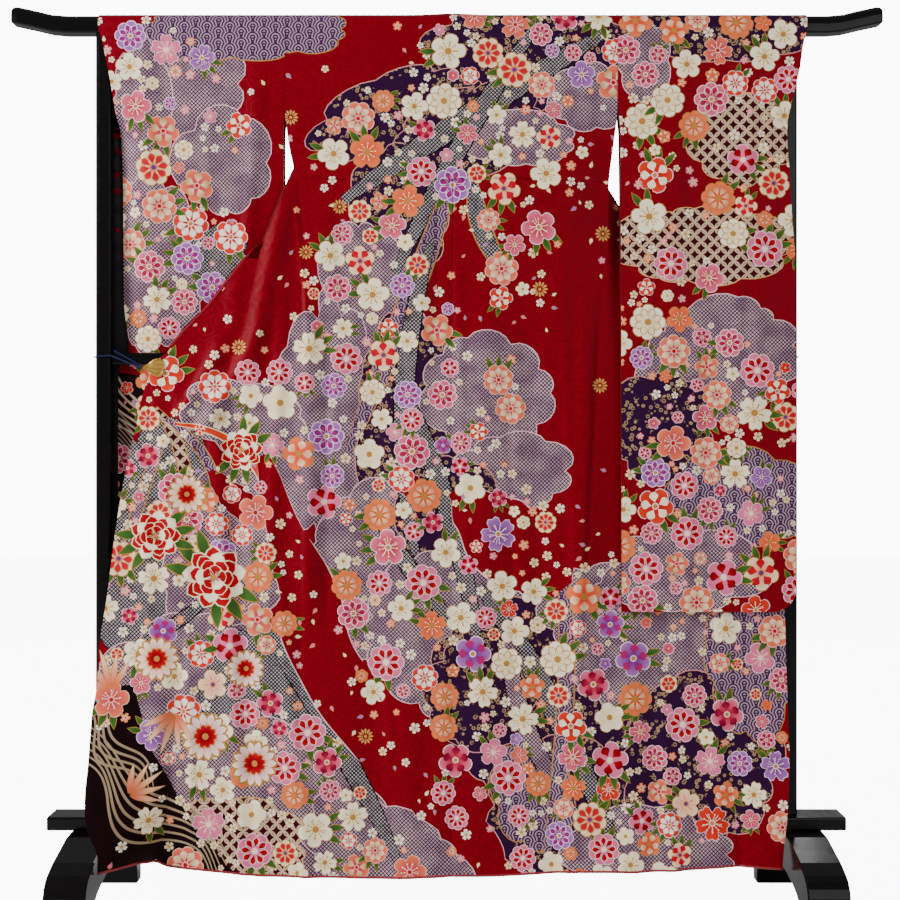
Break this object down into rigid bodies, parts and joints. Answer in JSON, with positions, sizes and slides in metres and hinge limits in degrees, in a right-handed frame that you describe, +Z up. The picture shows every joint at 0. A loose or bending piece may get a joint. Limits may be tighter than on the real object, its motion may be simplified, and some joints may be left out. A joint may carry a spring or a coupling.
{
  "type": "furisode on a kimono stand",
  "caption": "Long-sleeved furisode hung over a lacquered kimono stand, its back to the front and both front panels drawn out to the sides to show the pattern",
  "frame": {"origin": "middle of the footprint, on the floor under the stand's feet", "axes": "+X to the viewer's right along the bars, +Y away from the viewer, to the garment's fronts and neck side, +Z up"},
  "size_m": [1.684, 0.45, 1.7582],
  "materials": {
    "patterned_silk": "satin with a printed pattern",
    "hem_lining": "plain silk",
    "black_lacquer": "gloss lacquer",
    "gilt_metal": "gilt",
    "cord": "plaited"
  },
  "bodies": {
    "root": {"body_left": "patterned_silk", "body_right": "patterned_silk", "overlap_left": "patterned_silk", "overlap_right": "patterned_silk", "sleeve_left": "patterned_silk", "sleeve_right": "patterned_silk", "collar": "patterned_silk", "hem_back_left": "hem_lining", "hem_back_right": "hem_lining", "hem_front_left": "hem_lining", "hem_front_right": "hem_lining", "hem_overlap_left": "hem_lining", "hem_overlap_right": "hem_lining", "top_bar": "black_lacquer", "post_left": "black_lacquer", "post_right": "black_lacquer", "mid_bar": "black_lacquer", "low_beam": "black_lacquer", "foot_left": "black_lacquer", "foot_right": "black_lacquer", "clip_left": "gilt_metal", "clip_left_plate": "gilt_metal", "clip_right": "gilt_metal", "clip_right_plate": "gilt_metal", "cord_left": "cord", "cord_right": "cord"}
  },
  "joints": []
}
